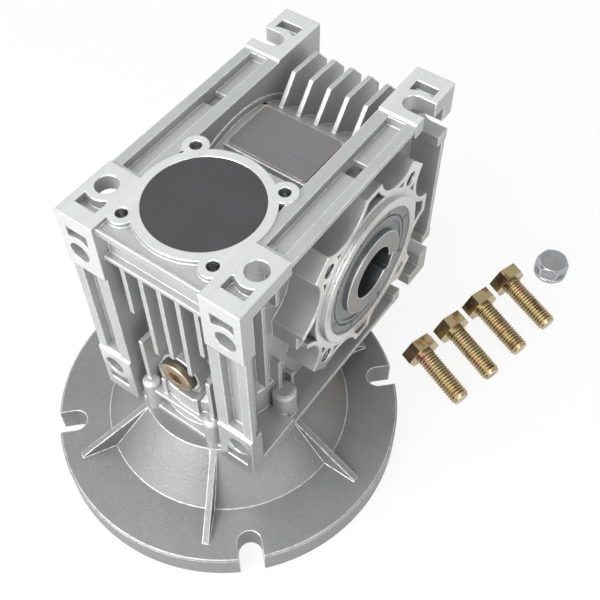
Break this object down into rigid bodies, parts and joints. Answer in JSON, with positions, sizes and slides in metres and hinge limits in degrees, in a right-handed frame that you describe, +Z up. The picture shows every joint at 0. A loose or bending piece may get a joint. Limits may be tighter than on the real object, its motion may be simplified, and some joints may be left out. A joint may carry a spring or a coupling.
{
  "type": "worm gear reducer",
  "caption": "Right-angle worm gear reducer with a finned square housing, a hollow output shaft and a slotted round motor flange, with loose motor bolts beside it.",
  "frame": {"origin": "centre of the motor flange's face, on the worm axis", "axes": "+Z up along the worm axis to the closed end, +X along the output shaft out of the scalloped face, +Y from the worm to the output shaft"},
  "size_m": [0.1906, 0.2664, 0.1565],
  "materials": {
    "cast_aluminium": "satin grey die casting with bright machined faces",
    "flange_aluminium": "mid grey die casting",
    "black_steel": "black oxide",
    "seal_rubber": "dark grey moulded rubber",
    "cap_rubber": "matte black",
    "plate_aluminium": "bare brushed plate",
    "plug_brass": "yellow zinc",
    "yellow_zinc": "yellow zinc with green and pink tints",
    "bright_zinc": "bright zinc",
    "shaft_steel": "ground steel",
    "bronze": "cut bronze",
    "cage_brass": "pressed cage",
    "bearing_steel": "polished bearing steel"
  },
  "bodies": {
    "gearcase": {"housing": "cast_aluminium", "side_cover": "cast_aluminium", "cover_screws": "black_steel", "cover_oring": "seal_rubber", "input_flange": "flange_aluminium", "flange_screws": "black_steel", "flange_oring": "seal_rubber", "rear_cap": "cap_rubber", "worm_circlips": "shaft_steel", "input_seal": "seal_rubber", "output_seals": "seal_rubber", "rear_outer_ring": "bearing_steel", "input_outer_ring": "bearing_steel", "output_outer_ring_cover": "bearing_steel", "output_outer_ring_case": "bearing_steel", "level_plug": "plug_brass", "plug_washer": "seal_rubber", "plate": "plate_aluminium", "motor_bolts": "yellow_zinc", "vent_plug": "bright_zinc"},
    "worm": {"worm_shaft": "shaft_steel", "rear_inner_ring": "bearing_steel", "input_inner_ring": "bearing_steel"},
    "output": {"output_shaft": "shaft_steel", "wheel_rim": "bronze", "output_inner_ring_cover": "bearing_steel", "output_inner_ring_case": "bearing_steel"},
    "rear_cage": {"rear_ball_cage": "cage_brass", "rear_balls": "bearing_steel"},
    "input_cage": {"input_ball_cage": "cage_brass", "input_balls": "bearing_steel"},
    "output_cage_cover": {"output_ball_cage_cover": "cage_brass", "output_balls_cover": "bearing_steel"},
    "output_cage_case": {"output_ball_cage_case": "cage_brass", "output_balls_case": "bearing_steel"}
  },
  "joints": [
    {"name": "worm_spin", "type": "hinge", "parent": "gearcase", "child": "worm", "pos_m": [0, 0, 0.0965], "axis": [0, 0, 1], "continuous": true},
    {"name": "output_spin", "type": "hinge", "parent": "gearcase", "child": "output", "pos_m": [0, 0.05, 0.0965], "axis": [1, 0, 0], "continuous": true},
    {"name": "rear_cage_spin", "type": "hinge", "parent": "gearcase", "child": "rear_cage", "pos_m": [0, 0, 0.141], "axis": [0, 0, 1], "continuous": true},
    {"name": "input_cage_spin", "type": "hinge", "parent": "gearcase", "child": "input_cage", "pos_m": [0, 0, 0.0526], "axis": [0, 0, 1], "continuous": true},
    {"name": "output_cage_cover_spin", "type": "hinge", "parent": "gearcase", "child": "output_cage_cover", "pos_m": [-0.0281, 0.05, 0.0965], "axis": [1, 0, 0], "continuous": true},
    {"name": "output_cage_case_spin", "type": "hinge", "parent": "gearcase", "child": "output_cage_case", "pos_m": [0.0281, 0.05, 0.0965], "axis": [1, 0, 0], "continuous": true}
  ],
  "couplings": [
    {"joint": "output_spin", "follows": "worm_spin", "ratio": 0.01},
    {"joint": "rear_cage_spin", "follows": "worm_spin", "ratio": 0.38313},
    {"joint": "input_cage_spin", "follows": "worm_spin", "ratio": 0.41139},
    {"joint": "output_cage_cover_spin", "follows": "worm_spin", "ratio": 0.0042481},
    {"joint": "output_cage_case_spin", "follows": "worm_spin", "ratio": 0.0042481}
  ]
}
